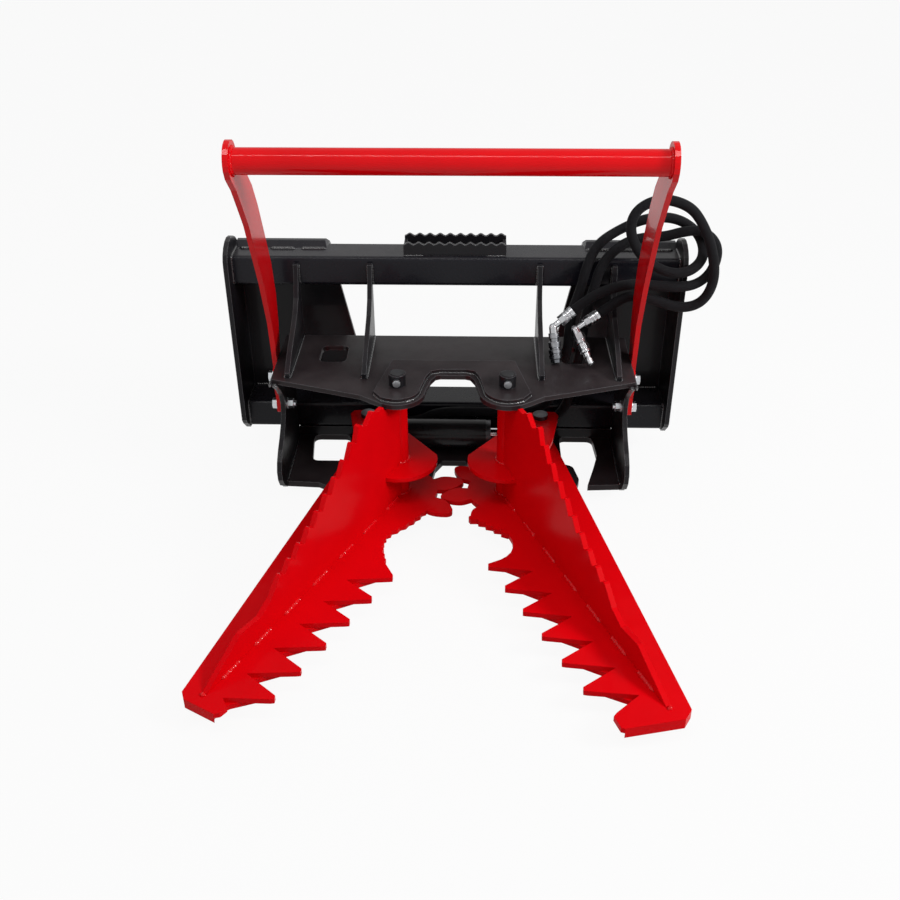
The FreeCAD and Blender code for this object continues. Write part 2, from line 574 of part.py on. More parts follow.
bolts = []
for y, z in GUARD_BOLTS:
    x_in, x_out = SIDE_OUT - SIDE_T, SIDE_OUT + ARM_T
    b = rod_x(BOLT_D, x_in - NUT_H - WASHER_T - BOLT_TAIL, x_out, y, z)
    b = b.fuse(rod_x(30.0, x_out, x_out + WASHER_T, y, z))
    b = b.fuse(hexagon(BOLT_HEAD_AF, x_out + WASHER_T, x_out + WASHER_T + BOLT_HEAD_H, y, z))
    b = b.fuse(rod_x(30.0, x_in - WASHER_T, x_in, y, z))
    b = b.fuse(hexagon(BOLT_HEAD_AF, x_in - WASHER_T - NUT_H, x_in - WASHER_T, y, z))
    bolts += [b, mirror(b)]
save("guard_bolts", Part.makeCompound(bolts))


# hose routes, from the cylinder's ports behind the barrel, up through the deck, over the top
# tube and round its right end, then back down to the couplers
HOSE_LONG = [(PORTS[0] + 24, PORT_OUT, CYL_Z), (-98, 24, CYL_Z), (-50, 24, 130), (40, 24, 133), (130, 22, 131),
             (215, 24, 132), (265, 24, 182), (272, 18, 260), (285, -50, 340), (290, -16, 432), (312, 4, 491), (328, 20, 560), (361, 42, 618),
             (424, 66, 650), (497, 78, 672), (572, 76, 658), (614, 66, 606), (608, -12, 558), (530, -30, 540),
             (453, -22, 563), (410, -8, 632), (432, 6, 706), (498, 10, 737), (570, 2, 713), (616, -10, 661),
             (656, -12, 597), (666, -22, 521), (628, -30, 466), (558, -30, 454), (487, -29, 480),
             (432, -30, 491), (387, -46, 476), (343, -64, 452)]
HOSE_SHORT = [(PORTS[1] + 24, PORT_OUT, CYL_Z), (140, 24, CYL_Z), (248, 24, 96), (302, 24, 150), (309, 18, 250),
              (316, -50, 334), (326, -16, 426), (345, 4, 495), (361, 15, 556), (396, 30, 600), (448, 40, 622),
              (512, 40, 622), (573, 38, 635), (630, 32, 634), (659, 22, 590), (645, 0, 538), (610, -24, 504),
              (560, -30, 503),
              (494, -29, 518), (431, -29, 526), (370, -44, 515), (321, -58, 494), (281, -72, 463)]


def tube(points, d):
    pts = [V(*p) for p in points]
    edges, start, tightest = [], pts[0], 1e9
    for a, b, c in zip(pts, pts[1:], pts[2:]):
        u, v = (a - b).normalize(), (c - b).normalize()
        cut = 0.45 * min((a - b).Length, (c - b).Length)
        half = u.getAngle(v) / 2
        r = cut * math.tan(half)
        tightest = min(tightest, r)
        mid = b + (u + v).normalize() * (cut / math.cos(half) - r)
        edges.append(Part.makeLine(start, b + u * cut))
        edges.append(Part.Arc(b + u * cut, mid, b + v * cut).toShape())
        start = b + v * cut
    edges.append(Part.makeLine(start, pts[-1]))
    wire = Part.Wire(edges)
    ring = Part.Wire(Part.makeCircle(d / 2, pts[0], pts[1] - pts[0]))
    solid = wire.makePipeShell([ring], True, False)
    print("hose length %.0f, tightest bend %.0f, volume against section x length %.4f"
          % (wire.Length, tightest, solid.Volume / (math.pi * d * d / 4 * wire.Length)))
    return solid


save("hose_long", tube(HOSE_LONG, HOSE_D))
save("hose_short", tube(HOSE_SHORT, HOSE_D))


# round and six-sided pieces along any direction
def turned(profile, p, q):
    wire = Part.makePolygon([V(r, 0, h) for r, h in profile + profile[:1]])
    shape = Part.Face(wire).revolve(V(0, 0, 0), V(0, 0, 1), 360)
    shape.Placement = FreeCAD.Placement(p, FreeCAD.Rotation(V(0, 0, 1), q - p))
    return shape


def rod(d, p, q):
    return Part.makeCylinder(d / 2, (q - p).Length, p, q - p)


def hex_rod(af, p, q):
    pts = [V(af / math.sqrt(3) * math.cos(math.radians(60 * i)), af / math.sqrt(3) * math.sin(math.radians(60 * i)), 0)
           for i in range(7)]
    shape = Part.Face(Part.makePolygon(pts)).extrude(V(0, 0, (q - p).Length))
    shape.Placement = FreeCAD.Placement(p, FreeCAD.Rotation(V(0, 0, 1), q - p))
    return shape


# port elbows on the barrel, with the hose's first crimp
def port_elbow(px):
    corner = V(px, PORT_OUT, CYL_Z)
    shape = rod_y(PORT_D, port_face - 8, PORT_OUT, px, CYL_Z).fuse(rod_y(ELBOW_D, port_face, PORT_OUT, px, CYL_Z))
    shape = shape.fuse(Part.makeSphere(ELBOW_D / 2, corner))
    shape = shape.fuse(rod(ELBOW_D, corner, corner + V(24 - CRIMP_IN, 0, 0)))
    return shape.fuse(rod(CRIMP_D, corner + V(24 - CRIMP_IN, 0, 0), corner + V(24, 0, 0)))


save("port_elbows", Part.makeCompound([port_elbow(px) for px in PORTS]))


# crimp on a hose's outer end, with its swivel nut, then the elbow's corner
def hose_end(points, reach):
    end = V(*points[-1])
    way = (end - V(*points[-2])).normalize()
    back, front = end - way * CRIMP_IN, end + way * (CRIMP_L - CRIMP_IN)
    groove = 1.5
    ro = CRIMP_D / 2
    third = CRIMP_L / 3
    profile = [(0, 0), (ro, 0), (ro, third), (ro - groove, third + 1), (ro - groove, third + 3), (ro, third + 4),
               (ro, 2 * third), (ro - groove, 2 * third + 1), (ro - groove, 2 * third + 3), (ro, 2 * third + 4),
               (ro, CRIMP_L), (0, CRIMP_L)]
    crimp = turned(profile, back, front).cut(rod(HOSE_D + 2 * HOSE_FIT, back - way, end))
    nut = hex_rod(SWIVEL_AF, front, front + way * SWIVEL_L)
    corner = front + way * reach
    return crimp.fuse(nut), front + way * SWIVEL_L, corner


def end_elbow(start, corner, way, leg):
    shape = rod(STEM_D, start, corner).fuse(Part.makeSphere(ELBOW_D / 2, corner))
    return shape.fuse(rod(ELBOW_D, corner, corner + way * leg))


crimp_a, start_a, corner_a = hose_end(HOSE_SHORT, 36.0)
crimp_b, start_b, corner_b = hose_end(HOSE_LONG, 40.0)
save("hose_crimps", Part.makeCompound([crimp_a, crimp_b]))
way_a = (V(251.0, -112.0, 366.0) - corner_a).normalize()
way_b = (V(334.0, -142.0, 366.0) - corner_b).normalize()
LEG = 14.0
save("end_elbow_45", end_elbow(start_a, corner_a, way_a, LEG))
save("end_elbow_90", end_elbow(start_b, corner_b, way_b, LEG))

# female coupler with its pull sleeve, male coupler with its nose
ro = COUPLER_D / 2
female = [(0, 0), (ro - 3, 0), (ro - 3, 12), (ro - 5, 13), (ro - 5, 20), (ro - 1, 21), (ro - 1, 34), (ro - 3, 36),
          (ro - 3, 39), (ro, 41), (ro, 48), (ro - 1.5, 49), (ro - 1.5, 52), (ro, 53), (ro, 62), (ro - 3, 64),
          (ro - 3, COUPLER_L), (SOCKET_D / 2, COUPLER_L), (SOCKET_D / 2, COUPLER_L - SOCKET_L),
          (0, COUPLER_L - SOCKET_L)]
foot_a = corner_a + way_a * LEG
save("coupler_female", turned(female, foot_a, foot_a + way_a))
foot_b = corner_b + way_b * LEG
rn = NIPPLE_D / 2
male = [(0, 16), (rn + 3, 16), (rn + 3, 24), (rn + 1, 26), (rn + 1, 44), (rn + 4, 45), (rn + 4, 50), (rn, 52),
        (rn, 62), (rn - 2, 64), (rn - 2, 66), (rn, 68), (rn, NIPPLE_L - 3), (rn - 2, NIPPLE_L),
        (rn - 5, NIPPLE_L), (rn - 5, NIPPLE_L - 20), (0, NIPPLE_L - 20)]
nipple = turned(male, foot_b, foot_b + way_b).fuse(hex_rod(NIPPLE_AF, foot_b, foot_b + way_b * 16))
nipple = nipple.fuse(hex_rod(NIPPLE_AF - 3, foot_b + way_b * 28, foot_b + way_b * 42))
save("coupler_male", nipple)
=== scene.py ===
import bpy
import bmesh
import json
import math
from mathutils import Matrix, Vector


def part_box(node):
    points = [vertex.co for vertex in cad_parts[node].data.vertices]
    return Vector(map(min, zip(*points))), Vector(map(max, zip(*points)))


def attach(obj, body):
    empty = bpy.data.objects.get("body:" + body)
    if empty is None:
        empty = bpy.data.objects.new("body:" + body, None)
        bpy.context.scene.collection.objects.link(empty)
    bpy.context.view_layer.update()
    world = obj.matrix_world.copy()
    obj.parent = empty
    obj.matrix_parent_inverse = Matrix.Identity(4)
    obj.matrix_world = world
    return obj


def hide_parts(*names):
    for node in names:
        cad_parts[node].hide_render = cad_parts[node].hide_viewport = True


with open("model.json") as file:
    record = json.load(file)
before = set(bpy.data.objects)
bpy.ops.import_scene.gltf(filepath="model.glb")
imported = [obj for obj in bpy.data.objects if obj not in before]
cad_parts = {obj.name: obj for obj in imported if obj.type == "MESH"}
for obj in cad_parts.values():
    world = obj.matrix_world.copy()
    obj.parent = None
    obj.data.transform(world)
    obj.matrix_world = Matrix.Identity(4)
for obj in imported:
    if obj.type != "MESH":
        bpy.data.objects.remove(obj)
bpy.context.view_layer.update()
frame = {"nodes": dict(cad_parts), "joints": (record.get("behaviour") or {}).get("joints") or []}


# Deck, side plates and base. Laser-cut steel plate with a semi-gloss black powder coat, which has a fine
# orange-peel skin and softly rounded edges.
# Upward faces turn towards a grey-brown tone that is partly dust and partly painted reflection of a warm room,
# and the edges carry a painted grey highlight.
class Value:
    def __init__(self, finish, socket):
        self.finish, self.socket = finish, socket

    def maths(self, operation, *terms):
        made = self.finish.tree.nodes.new("ShaderNodeMath")
        made.operation = operation
        for place, term in zip(made.inputs, terms):
            self.finish.join(place, term)
        return Value(self.finish, made.outputs[0])

    def __add__(self, other):
        return self.maths("ADD", self, other)

    def __radd__(self, other):
        return self.maths("ADD", other, self)

    def __rsub__(self, other):
        return self.maths("SUBTRACT", other, self)

    def __mul__(self, other):
        return self.maths("MULTIPLY", self, other)

    def __rmul__(self, other):
        return self.maths("MULTIPLY", other, self)


class Finish:
    def __init__(self, name, **fixed):
        self.material = bpy.data.materials.new(name)
        self.material.use_nodes = True
        self.tree = self.material.node_tree
        self.shader = self.tree.nodes["Principled BSDF"]
        for socket, value in fixed.items():
            self.set(socket.replace("_", " "), value)

    def join(self, socket, value):
        if isinstance(value, Value):
            self.tree.links.new(value.socket, socket)
        else:
            socket.default_value = value

    def set(self, socket, value):
        self.join(self.shader.inputs[socket], value)

    # a socket is given by its name, or by i and its number where names repeat
    def node(self, kind, settings, out, **sockets):
        made = self.tree.nodes.new(kind)
        for key, value in settings.items():
            setattr(made, key, value)
        for key, value in sockets.items():
            place = int(key[1:]) if key[1:].isdigit() else key.replace("_", " ")
            self.join(made.inputs[place], value)
        return Value(self, made.outputs[out])

    def noise(self, scale, detail=2.0, rough=0.5):
        where = self.node("ShaderNodeTexCoord", {}, "Object")
        return self.node("ShaderNodeTexNoise", {}, 0, Vector=where, Scale=scale, Detail=detail, Roughness=rough)

    def band(self, value, low, high):
        return self.node("ShaderNodeMapRange", {"clamp": True}, 0, Value=value, From_Min=low, From_Max=high)

    def mix(self, mask, first, second):
        return self.node("ShaderNodeMix", {"data_type": "RGBA"}, 2, i0=mask, i6=first, i7=second)

    def up(self):
        normal = self.node("ShaderNodeNewGeometry", {}, "Normal")
        return self.node("ShaderNodeSeparateXYZ", {}, 2, i0=normal)

    def edges(self, reach):
        rounded = self.node("ShaderNodeBevel", {"samples": 4}, 0, Radius=reach)
        flat = self.node("ShaderNodeNewGeometry", {}, "Normal")
        bend = 1.0 - self.node("ShaderNodeVectorMath", {"operation": "DOT_PRODUCT"}, "Value", i0=rounded, i1=flat)
        return self.band(bend, 0.02, 0.18)

    def relief(self, height, depth, round_edges=0.0015):
        edge = self.node("ShaderNodeBevel", {"samples": 4}, 0, Radius=round_edges)
        skin = self.node("ShaderNodeBump", {}, 0, Strength=1.0, Distance=depth, Height=height, Normal=edge)
        self.set("Normal", skin)


BLACK = (0.0085, 0.0080, 0.0100, 1)
# the deck's black, warmer and lighter than the rest: a painted reflection of a warm room
DECK_BLACK_WARM_REFLECTION = (0.0175, 0.0125, 0.0140, 1)
DUST_AND_REFLECTION_TONE = (0.055, 0.046, 0.048, 1)
EDGE_GLINT_GREY = (0.115, 0.115, 0.125, 1)
GLINT_REACH = 0.0030
BLACK_PEEL = 0.00022


def black_coat(name, tone, dust_and_reflection_share, gloss, shine=0.16):
    coat = Finish(name, Specular_IOR_Level=shine, Coat_Roughness=0.07)
    mottle = coat.noise(9.0, 4.0)
    grime = coat.band(coat.noise(26.0, 6.0, 0.65), 0.45, 0.75)
    # upward faces drift towards the grey-brown tone: partly settled dust, partly a painted reflection of a warm
    # room; the random grime adds a little real dirt
    dust_and_reflection = coat.band(coat.up(), 0.5, 0.95) * coat.band(mottle, 0.35, 0.7) * dust_and_reflection_share
    # painted highlight: the base colour turns lighter grey where the bevel bends at the edges, and the coat is
    # glossier there
    glint_edges = coat.edges(GLINT_REACH)
    dusty_and_reflecting = coat.mix(dust_and_reflection + grime * 0.05, tone, DUST_AND_REFLECTION_TONE)
    coat.set("Base Color", coat.mix(glint_edges * 0.8, dusty_and_reflecting, EDGE_GLINT_GREY))
    coat.set("Coat Weight", glint_edges * 0.9 + shine * 0.6)
    coat.set("Roughness", gloss + grime * 0.10 + dust_and_reflection * 0.25)
    coat.relief(coat.noise(420.0, 1.0) * 0.6 + coat.noise(90.0, 2.0) * 0.4, BLACK_PEEL)
    return coat.material


def dress(material, *nodes):
    for name in nodes:
        piece = frame["nodes"][name]
        if piece.material_slots:
            for place in piece.material_slots:
                place.material = material
        else:
            piece.data.materials.append(material)


plate_coat = black_coat("plate_coat", BLACK, dust_and_reflection_share=0.35, gloss=0.30)
deck_coat = black_coat("deck_coat", DECK_BLACK_WARM_REFLECTION, dust_and_reflection_share=0.55, gloss=0.33)
dress(deck_coat, "deck_plate", "deck_doubler", "base_plate")
dress(plate_coat, "side_plate_left", "side_plate_right", "base_web", "base_bosses")


# Weld beads. A fillet of overlapping puddles laid by hand where two plates meet, painted over
# with the same coat. Each is a round bead half sunk in the corner, its width rippling evenly.
# The first ones join the side plates to the base and the deck, and the doubler to the deck.
PUDDLE = 0.0062
BEAD_SIDES = 7
RIPPLE, HAND, HAND_RATE = 0.13, 0.05, 390
TAPER_START, TAPER_STEPS = 0.35, 4
weld_coat = black_coat("weld_coat", BLACK, dust_and_reflection_share=0.15, gloss=0.12, shine=0.8)


def along(points, step):
    path = [Vector(p) for p in points]
    out = []
    for a, b in zip(path, path[1:]):
        count = max(1, round((b - a).length / step))
        out += [a.lerp(b, i / count) for i in range(count)]
    return out + [path[-1]]


def turns(count):
    return [2 * math.pi * k / count for k in range(count)]


def made_piece(name, mesh, body, material):
    data = bpy.data.meshes.new(name)
    mesh.to_mesh(data)
    mesh.free()
    piece = bpy.data.objects.new(name, data)
    bpy.context.scene.collection.objects.link(piece)
    data.materials.append(material)
    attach(piece, body)


def bead(name, points, body, material, slot, width=0.0044, closed=False):
    path = along(points, PUDDLE / 3)
    last = len(path) - 1
    mesh = bmesh.new()
    rings, gone = [], 0.0
    for i, p in enumerate(path):
        before, after = path[max(0, i - 1)], path[min(last, i + 1)]
        way = (after - before).normalized()
        gone += (p - before).length
        side = way.orthogonal().normalized()
        other = way.cross(side)
        ends = 1.0 if closed else min(1.0, TAPER_START + min(i, last - i) / TAPER_STEPS)
        ripple = RIPPLE * math.sin(2 * math.pi * gone / PUDDLE) + HAND * math.sin(gone * HAND_RATE)
        r = width * ends * (1 + ripple)
        rings.append([mesh.verts.new(p + (side * math.cos(a) + other * math.sin(a)) * r)
                      for a in turns(BEAD_SIDES)])
    for one, two in zip(rings, rings[1:]):
        for k in range(BEAD_SIDES):
            n = (k + 1) % BEAD_SIDES
            mesh.faces.new((one[k], one[n], two[n], two[k])).smooth = True
    if not closed:
        mesh.faces.new(rings[0][::-1])
        mesh.faces.new(rings[-1])
    made_piece(name, mesh, body, material)


def black_seam(name, points, **form):
    bead(name, points, "frame", weld_coat, "black_paint", **form)


# the longest outline of a node's flat top, as a closed loop of points
def top_rim(node):
    top = low_high(node)[1].z
    mesh = bmesh.new()
    mesh.from_mesh(frame["nodes"][node].data)
    bmesh.ops.remove_doubles(mesh, verts=mesh.verts, dist=1e-6)
    ahead = {}
    for edge in mesh.edges:
        if all(abs(v.co.z - top) < 0.0004 for v in edge.verts) and len(edge.link_faces) == 2:
            flat = [abs(f.normal.z) > 0.99 for f in edge.link_faces]
            if flat.count(True) == 1:
                a, b = edge.verts
                ahead.setdefault(a.index, []).append(b.index)
                ahead.setdefault(b.index, []).append(a.index)
    places = {v.index: v.co.copy() for v in mesh.verts}
    mesh.free()
    loops, seen = [], set()
    for start in sorted(ahead):
        if start in seen:
            continue
        loop, onward = [], [start]
        while onward:
            seen.add(onward[0])
            loop.append(onward[0])
            onward = [n for n in ahead[loop[-1]] if n not in seen]
        loops.append([places[i] for i in loop + [start]])
    return max(loops, key=lambda loop: sum((a - b).length for a, b in zip(loop, loop[1:])))


def low_high(node):
    low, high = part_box(node)
    return Vector(low), Vector(high)


ORIGIN_Y = 0.42315    # the attach frame's front line, behind the middle of the footprint
SIDE_FOOT_FRONT = ORIGIN_Y - 0.188
SIDE_HEAD_SETBACK = 0.105
deck_low, deck_high = low_high("deck_plate")
base_top = low_high("base_plate")[1].z
tube_low, tube_high = low_high("top_tube")
low_tube_low, low_tube_high = low_high("lower_tube")

for side in ("left", "right"):
    low, high = low_high("side_plate_" + side)
    inner, outer = (low.x, high.x) if side == "right" else (high.x, low.x)
    for tag, x in (("in", inner), ("out", outer)):
        black_seam("side_foot_%s_%s" % (side, tag),
                   [(x, SIDE_FOOT_FRONT, base_top), (x, low_tube_low.y, base_top)])
        black_seam("side_head_%s_%s" % (side, tag),
                   [(x, deck_low.y + SIDE_HEAD_SETBACK, deck_low.z), (x, low_tube_low.y, deck_low.z)])

black_seam("doubler_seam", [(p.x, p.y, deck_high.z) for p in top_rim("deck_doubler")],
           width=0.0036, closed=True)


# Quick-attach frame. Two rolled tubes between laser-cut end plates, with flat back plates and
# bent hook lips, all welded; the tubes' skin is smoother than the plates'.
TUBE_BLACK = (0.0085, 0.0085, 0.0125, 1)
TUBE_CORNER = 0.006
LIP_STITCHES = 3
LIP_RUN = (0.04, 0.86)    # where a stitch starts and ends in its third of the lip
tube_coat = black_coat("tube_coat", TUBE_BLACK, dust_and_reflection_share=0.22, gloss=0.24)
dress(tube_coat, "top_tube", "lower_tube", "hook_lip_left", "hook_lip_right")
dress(plate_coat, "end_plate_left", "end_plate_right", "back_plate_left", "back_plate_right")

for sign, side in ((-1, "left"), (1, "right")):
    x = tube_high.x * sign
    for tag, low, high in (("top", tube_low, tube_high), ("low", low_tube_low, low_tube_high)):
        black_seam("end_seam_%s_%s" % (tag, side),
                   [(x, high.y, high.z), (x, low.y + TUBE_CORNER, high.z), (x, low.y, high.z - TUBE_CORNER),
                    (x, low.y, low.z + TUBE_CORNER), (x, low.y + TUBE_CORNER, low.z)])
    lip_low, lip_high = low_high("hook_lip_" + side)
    inner, outer = sorted((lip_low.x, lip_high.x), key=abs)
    for k in range(LIP_STITCHES):
        a, b = (inner + (outer - inner) * (k + share) / LIP_STITCHES for share in LIP_RUN)
        black_seam("lip_stitch_%s_%d" % (side, k), [(a, lip_low.y, tube_high.z), (b, lip_low.y, tube_high.z)],
                   width=0.0052)
    back_low, back_high = low_high("back_plate_" + side)
    foot = min((back_low.x, back_high.x), key=abs)
    black_seam("back_seam_" + side, [(foot, back_low.y, low_tube_high.z), (x, back_low.y, low_tube_high.z)])


# Gussets between the deck and the top tube. Four curved ribs of black plate, welded on both
# sides along the deck and up the tube.
RIB_TOE, RIB_HEEL, RIB_HEAD = 0.002, 0.006, 0.004
for rib in ("inner_left", "inner_right", "outer_left", "outer_right"):
    dress(plate_coat, "gusset_" + rib)
    low, high = low_high("gusset_" + rib)
    for tag, x in (("a", low.x), ("b", high.x)):
        black_seam("rib_foot_%s_%s" % (rib, tag),
                   [(x, low.y + RIB_TOE, deck_high.z), (x, high.y - RIB_HEEL, deck_high.z)])
        black_seam("rib_head_%s_%s" % (rib, tag),
                   [(x, tube_low.y, tube_low.z + RIB_HEAD), (x, tube_low.y, high.z - RIB_HEAD)])


# Step on the top tube. Two flat bars on edge with a scalloped upper edge for grip and a cap at
# each end, in the same black coat, welded down to the tube for a short run at their ends.
STEP_SEAM = 0.05
dress(plate_coat, "step_front_bar", "step_rear_bar", "step_end_caps")
for row in ("front", "rear"):
    low, high = low_high("step_%s_bar" % row)
    y = low.y if row == "front" else high.y
    for tag, x, run in (("left", low.x, STEP_SEAM), ("right", high.x, -STEP_SEAM)):
        black_seam("step_seam_%s_%s" % (row, tag), [(x, y, low.z), (x + run, y, low.z)], width=0.003)


# Jaws. Two layers of laser-cut plate with saw teeth inside, a saw-edged blade on edge along the
# middle, a turned hub and an ear plate for the cylinder, all in a glossy red powder coat.
# The blade is held by stitch welds on both sides, the hub by a seam all round.
RED = (0.72, 0.0012, 0.0045, 1)
DEEP_RED = (0.60, 0.0010, 0.0035, 1)
RED_PEEL = 0.0002


def red_coat(name, gloss, shine=0.025, lacquer=0.025):
    coat = Finish(name, Specular_IOR_Level=shine, Coat_Roughness=0.06, Coat_Weight=lacquer)
    mottle = coat.band(coat.noise(7.0, 3.0), 0.3, 0.75)
    scuff = coat.band(coat.noise(60.0, 8.0, 0.7), 0.68, 0.80)
    coat.set("Base Color", coat.mix(mottle * 0.6 + scuff * 0.15, RED, DEEP_RED))
    coat.set("Roughness", gloss + scuff * 0.18)
    coat.relief(coat.noise(380.0, 1.0) * 0.5 + coat.noise(80.0, 2.0) * 0.5, RED_PEEL)
    return coat.material


jaw_coat = red_coat("jaw_coat", 0.26)
red_weld = red_coat("red_weld", 0.18, shine=0.10, lacquer=0.40)
JAW_HEADING = {"left": 26.7, "right": 23.8}
JAW_PARTS = ("top_plate", "bottom_plate", "blade", "hub", "ear_plate")
JAW_TOP = low_high("jaw_left_top_plate")[1].z
BLADE_FACES = {"in": -0.013, "out": -0.001}
BLADE_TURN = math.radians(1.0)
STITCHES, FIRST_STITCH, STITCH_PITCH, STITCH = 7, 0.034, 0.108, 0.062
NOSE = FIRST_STITCH + STITCHES * STITCH_PITCH + 0.004
RING_POINTS = 40
hinges = {j["name"]: j for j in frame["joints"]}


# a point at a distance ahead of the jaw's pivot and out to the side, in the jaw's own heading
def on_jaw(side, ahead, out, z):
    sign = 1 if side == "right" else -1
    pivot = hinges[side + "_jaw_swing"]["pos_m"]
    turn = math.radians(JAW_HEADING[side])
    x = ahead * math.sin(turn) + out * math.cos(turn)
    y = -ahead * math.cos(turn) + out * math.sin(turn)
    return (pivot[0] + sign * x, pivot[1] + y, z)


def on_blade(side, ahead, face):
    out = BLADE_FACES[face] - ahead * math.sin(BLADE_TURN)
    return on_jaw(side, ahead * math.cos(BLADE_TURN), out, JAW_TOP)


def red_seam(name, side, points, **form):
    bead(name, points, side + "_jaw", red_weld, "red_paint", **form)


for side in ("left", "right"):
    dress(jaw_coat, *["jaw_%s_%s" % (side, part) for part in JAW_PARTS])
    for face in ("in", "out"):
        for k in range(STITCHES):
            start = FIRST_STITCH + k * STITCH_PITCH
            red_seam("blade_stitch_%s_%s_%d" % (side, face, k), side,
                     [on_blade(side, start, face), on_blade(side, start + STITCH, face)], width=0.0066)
        if face == "in":
            red_seam("blade_nose_" + side, side, [on_blade(side, NOSE, "in"), on_blade(side, NOSE, "out")],
                     width=0.006)
    hub_low, hub_high = low_high("jaw_%s_hub" % side)
    centre, r = (hub_low + hub_high) / 2, (hub_high.x - hub_low.x) / 2
    for tag, z in (("foot", JAW_TOP), ("ear", low_high("jaw_%s_ear_plate" % side)[1].z)):
        ring = [(centre.x + r * math.cos(t), centre.y + r * math.sin(t), z) for t in turns(RING_POINTS)]
        red_seam("hub_seam_%s_%s" % (tag, side), side, ring + ring[:1], closed=True)

# the saw-like nicks in the right jaw's throat, each one small wedge sunk in the plate's edge
THROAT = [(0.070, -0.127), (0.088, -0.110), (0.107, -0.099), (0.128, -0.088), (0.148, -0.075), (0.170, -0.069)]
NICK_SUNK, NICK_HEEL, NICK_TIP, NICK_TOE = 0.003, 0.002, 0.0085, 0.0008
NICK_TOP, NICK_FOOT = JAW_TOP - 0.0003, JAW_TOP - 0.0155
mesh = bmesh.new()
for start, end in zip(THROAT, THROAT[1:]):
    a, b = Vector(start), Vector(end)
    out = Vector((b.y - a.y, a.x - b.x)).normalized()
    flat = [a - out * NICK_SUNK, b - out * NICK_SUNK, b + out * NICK_TOE, a.lerp(b, 0.3) + out * NICK_TIP,
            a + out * NICK_HEEL]
    tops, feet = ([mesh.verts.new(on_jaw("right", p.x, p.y, z)) for p in flat] for z in (NICK_TOP, NICK_FOOT))
    mesh.faces.new(tops)
    mesh.faces.new(feet[::-1])
    for k in range(len(flat)):
        mesh.faces.new((tops[k - 1], feet[k - 1], feet[k], tops[k]))
bmesh.ops.recalc_face_normals(mesh, faces=mesh.faces)
made_piece("throat_nicks", mesh, "right_jaw", jaw_coat)


# Brush guard. A red tube between two curved flat arms, welded all round at the tube's ends;
# the arms' lower ends are bolted to the side plates.
guard_coat = red_coat("guard_coat", 0.24, shine=0.03, lacquer=0.30)
dress(guard_coat, "guard_tube", "guard_arm_left", "guard_arm_right")
guard_low, guard_high = low_high("guard_tube")
centre, r = (guard_low + guard_high) / 2, (guard_high.z - guard_low.z) / 2
for tag, x in (("left", guard_low.x), ("right", guard_high.x)):
    ring = [(x, centre.y + r * math.cos(t), centre.z + r * math.sin(t)) for t in turns(RING_POINTS)]
    bead("guard_seam_" + tag, ring + ring[:1], "frame", guard_coat, "red_paint", closed=True)


# Bolts and pins. Zinc-plated bolts with a faint blue cast, and turned steel pins ringed finely by the lathe,
# in a dark tone with darker oil stains at random; on the ear pins that dark tone is painted shade.
ZINC, DULL_ZINC = (0.72, 0.75, 0.78, 1), (0.50, 0.52, 0.54, 1)
# a dark steel tone; on the ear pins it is painted shade
DARK_AND_SHADED_STEEL, OIL = (0.085, 0.085, 0.09, 1), (0.035, 0.033, 0.032, 1)
LATHE_DEPTH = 0.000012


def bare_metal(name, tone, dull_tone, roughness, ring_scale):
    metal = Finish(name, Metallic=1.0)
    stain = metal.band(metal.noise(35.0, 5.0), 0.4, 0.75)
    metal.set("Base Color", metal.mix(stain * 0.7, tone, dull_tone))
    metal.set("Roughness", roughness + stain * 0.15)
    where = metal.node("ShaderNodeTexCoord", {}, "Object")
    rings = metal.node("ShaderNodeTexWave", {"bands_direction": "Z"}, 1, Vector=where, Scale=ring_scale,
                       Distortion=0.6, Detail=1.0)
    metal.relief(rings, LATHE_DEPTH, 0.0008)
    return metal.material


zinc = bare_metal("zinc_plate", ZINC, DULL_ZINC, 0.24, 160.0)
pin_steel = bare_metal("pin_steel", DARK_AND_SHADED_STEEL, OIL, 0.36, 220.0)
dress(zinc, "guard_bolts", "pin_bolts")
dress(pin_steel, "pivot_pin_left", "pivot_pin_right", "ear_pin_left", "ear_pin_right", "thrust_washers",
      "cylinder_piston", "cylinder_gland")
dress(plate_coat, "pin_collars")


# Cylinder between the jaws' rear ends. A black painted barrel and a hard-chromed, ground rod
# with a few oil streaks; both turn on the ear pins.
BARREL_BLACK = (0.011, 0.011, 0.012, 1)
CHROME, OILED_CHROME = (0.78, 0.79, 0.80, 1), (0.62, 0.60, 0.56, 1)
dress(black_coat("barrel_coat", BARREL_BLACK, dust_and_reflection_share=0.3, gloss=0.26), "cylinder_barrel")
dress(bare_metal("rod_chrome", CHROME, OILED_CHROME, 0.07, 600.0), "cylinder_rod")


# Fittings on the hoses. Turned and six-sided steel, crimped to the hose, all bright plated but
# for the female coupler, whose sliding collar is darker between bright rings.
PLATED, DULL_PLATED = (0.66, 0.67, 0.69, 1), (0.34, 0.345, 0.36, 1)
COLLAR_GREY, COLLAR_RING = (0.20, 0.21, 0.23, 1), (0.62, 0.62, 0.64, 1)
fitting = bare_metal("fitting_plate", PLATED, DULL_PLATED, 0.20, 150.0)
dress(fitting, "hose_crimps", "port_elbows", "end_elbow_45", "end_elbow_90", "coupler_male")
dress(bare_metal("socket_steel", COLLAR_GREY, COLLAR_RING, 0.25, 70.0), "coupler_female")


# Hoses. Rubber hose in a loose black woven sleeve that wrinkles at the bends; each runs from a
# port on the cylinder up through the deck, round in loose loops over the frame's right end, and
# back to a coupler on the deck. The points are counted from the frame's front line.
SLEEVE_BLACK, SLEEVE_GREY = (0.0045, 0.0045, 0.0055, 1), (0.015, 0.015, 0.018, 1)
THREADS = 190.0
FOLD_DEPTH = 0.0022


